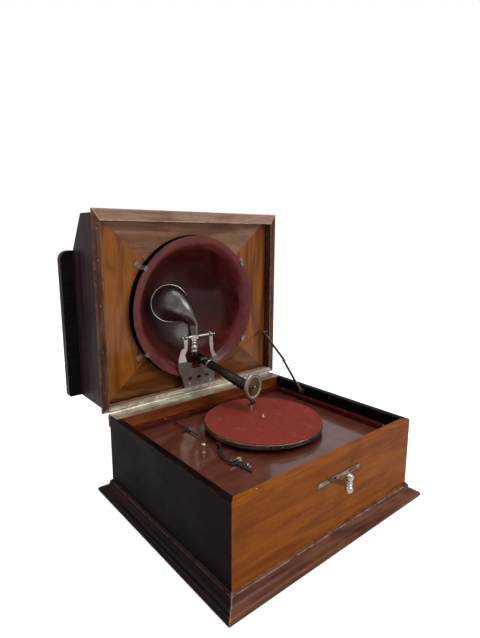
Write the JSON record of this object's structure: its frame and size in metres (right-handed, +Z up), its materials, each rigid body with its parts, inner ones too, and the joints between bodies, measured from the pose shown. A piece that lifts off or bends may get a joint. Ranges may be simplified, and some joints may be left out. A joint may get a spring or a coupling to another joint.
{
  "type": "table gramophone",
  "caption": "Wooden table gramophone with its lid open: felt-covered turntable, folding tonearm, and a round bowl set in the lid as its horn.",
  "frame": {"origin": "centre of the case footprint on the underside of the base board", "axes": "+X right along the front, +Y from the front to the hinge side, +Z up"},
  "size_m": [0.5754, 0.6027, 0.578],
  "materials": {
    "case_front_wood": "glossy varnished mahogany, warm grain",
    "case_dark_wood": "dark red-brown gloss varnish",
    "plinth_wood": "worn moulding, softened edges",
    "rail_wood": "orange-brown varnish",
    "board_wood": "dark glossy deck board",
    "cleat_wood": "maroon-brown strips",
    "inner_wood": "bare inner wood",
    "mouth_wood": "tan moulding with a worn edge",
    "veneer": "golden-brown veneer, satin varnish",
    "top_wood": "very dark gloss board",
    "bowl_paint": "maroon gloss paint",
    "nickel": "aged nickel plate",
    "dull_nickel": "dull worn nickel",
    "bell_metal": "grey oxidised plate",
    "dark_arm": "dark oxidised plate",
    "brass": "machined brass",
    "steel": "plain machined steel",
    "spring_steel": "blued steel",
    "felt": "brick-red felt",
    "grip_wood": "turned dark wood",
    "soundbox_metal": "nickel over brass, gold diaphragm",
    "black_iron": "black steel controls"
  },
  "bodies": {
    "case": {"base_board": "inner_wood", "plinth_front": "plinth_wood", "plinth_rear": "plinth_wood", "plinth_sides": "plinth_wood", "case_front": "case_front_wood", "case_rear": "case_dark_wood", "case_sides": "case_dark_wood", "hinge_rail": "rail_wood", "motor_board": "board_wood", "front_board": "board_wood", "board_cleats": "cleat_wood", "board_ledgers": "inner_wood", "hinge_lower_leaf": "nickel", "guide_plate": "dull_nickel", "guide_screws": "dull_nickel", "crank_escutcheon": "brass", "motor_plate": "steel", "motor_bridge": "steel", "motor_pillars": "steel", "brake_clip": "nickel", "speed_peg": "nickel", "stay_bracket": "dull_nickel"},
    "lid": {"mouth_bottom": "mouth_wood", "mouth_top": "mouth_wood", "mouth_sides": "mouth_wood", "lid_sides": "case_dark_wood", "lid_rear_wall": "case_dark_wood", "lid_front_wall": "case_dark_wood", "lid_slope": "case_dark_wood", "lid_back": "case_dark_wood", "top_board": "top_wood", "panel_bottom": "veneer", "panel_top": "veneer", "panel_sides": "veneer", "bowl": "bowl_paint", "bowl_clips": "nickel", "hinge_upper_leaf": "nickel", "arm_bracket": "nickel", "stay_stud": "dull_nickel"},
    "arm_yoke": {"crossbar": "nickel", "gooseneck": "bell_metal"},
    "arm_elbow": {"elbow": "dark_arm"},
    "tonearm": {"arm_tube": "dark_arm"},
    "sound_head": {"soundbox": "soundbox_metal", "needle": "nickel"},
    "turntable": {"platter": "dull_nickel", "felt_mat": "felt", "spindle": "nickel"},
    "second_arbor": {"second_wheel": "brass"},
    "spring_drum": {"spring_barrel": "brass", "mainspring": "spring_steel"},
    "fly_governor": {"governor": "brass"},
    "winder": {"crank": "nickel"},
    "winder_grip": {"crank_grip": "grip_wood"},
    "wind_arbor": {"winding_arbor": "steel"},
    "brake": {"brake_lever": "black_iron"},
    "speed_control": {"speed_lever": "black_iron"},
    "lever": {"front_lever": "dull_nickel"},
    "lower_link": {"stay_lower": "dull_nickel"},
    "upper_link": {"stay_upper": "dull_nickel"}
  },
  "joints": [
    {"name": "lid_hinge", "type": "hinge", "parent": "case", "child": "lid", "pos_m": [0, 0.206, 0.169], "axis": [1, 0, 0], "range_deg": [0, 90]},
    {"name": "yoke_tilt", "type": "hinge", "parent": "lid", "child": "arm_yoke", "pos_m": [0.009, 0.224, 0.296], "axis": [1, 0, 0], "range_deg": [-5, 0]},
    {"name": "arm_swing", "type": "hinge", "parent": "arm_yoke", "child": "arm_elbow", "pos_m": [0, 0.231, 0.279], "axis": [0, 0, -1], "range_deg": [-30, 2]},
    {"name": "arm_fold", "type": "hinge", "parent": "arm_elbow", "child": "tonearm", "pos_m": [0.007, 0.205, 0.243], "axis": [1, 0, 0], "range_deg": [-111.51, 0]},
    {"name": "soundbox_turn", "type": "hinge", "parent": "tonearm", "child": "sound_head", "pos_m": [0.04, 0.062, 0.208], "axis": [0.2078, -0.9776, 0.0349], "range_deg": [0, 180]},
    {"name": "stay_lower_swing", "type": "hinge", "parent": "case", "child": "lower_link", "pos_m": [0.211, 0.082, 0.156], "axis": [1, 0, 0], "range_deg": [0, 118.17]},
    {"name": "stay_upper_swing", "type": "hinge", "parent": "lid", "child": "upper_link", "pos_m": [0.213, 0.219, 0.278], "axis": [1, 0, 0], "range_deg": [-125.35, 0]},
    {"name": "turntable_spin", "type": "hinge", "parent": "case", "child": "turntable", "pos_m": [0.026, 0.016, 0.15], "axis": [0, 0, 1], "continuous": true},
    {"name": "second_spin", "type": "hinge", "parent": "case", "child": "second_arbor", "pos_m": [0.068, 0.016, 0.08], "axis": [0, 0, 1], "continuous": true},
    {"name": "barrel_spin", "type": "hinge", "parent": "case", "child": "spring_drum", "pos_m": [0.116, 0.016, 0.062], "axis": [0, 0, 1], "continuous": true},
    {"name": "governor_spin", "type": "hinge", "parent": "case", "child": "fly_governor", "pos_m": [0.0012, 0.016, 0.082], "axis": [0, 1, 0], "continuous": true},
    {"name": "crank_turn", "type": "hinge", "parent": "case", "child": "winder", "pos_m": [0.2, 0.016, 0.095], "axis": [1, 0, 0], "continuous": true},
    {"name": "grip_spin", "type": "hinge", "parent": "winder", "child": "winder_grip", "pos_m": [0.29, 0.016, 0.02], "axis": [1, 0, 0], "continuous": true},
    {"name": "arbor_turn", "type": "hinge", "parent": "case", "child": "wind_arbor", "pos_m": [0.116, 0.016, 0.062], "axis": [0, 0, 1], "continuous": true},
    {"name": "brake_swing", "type": "hinge", "parent": "case", "child": "brake", "pos_m": [-0.113, -0.068, 0.138], "axis": [0, 0, 1], "range_deg": [-14, 3]},
    {"name": "speed_swing", "type": "hinge", "parent": "case", "child": "speed_control", "pos_m": [-0.106, 0.105, 0.138], "axis": [0, 0, 1], "range_deg": [-8, 8]},
    {"name": "lever_slide", "type": "slide", "parent": "case", "child": "lever", "axis": [1, 0, 0], "range_m": [0, 0.016]}
  ],
  "couplings": [
    {"joint": "arm_fold", "follows": "lid_hinge", "ratio": -1.2389},
    {"joint": "soundbox_turn", "follows": "lid_hinge", "ratio": 2},
    {"joint": "stay_lower_swing", "follows": "lid_hinge", "ratio": 1.3129},
    {"joint": "stay_upper_swing", "follows": "lid_hinge", "ratio": -1.3927},
    {"joint": "second_spin", "follows": "turntable_spin", "ratio": -0.16667},
    {"joint": "barrel_spin", "follows": "turntable_spin", "ratio": 0.033333},
    {"joint": "governor_spin", "follows": "turntable_spin", "ratio": 12},
    {"joint": "arbor_turn", "follows": "crank_turn", "ratio": 0.5}
  ]
}
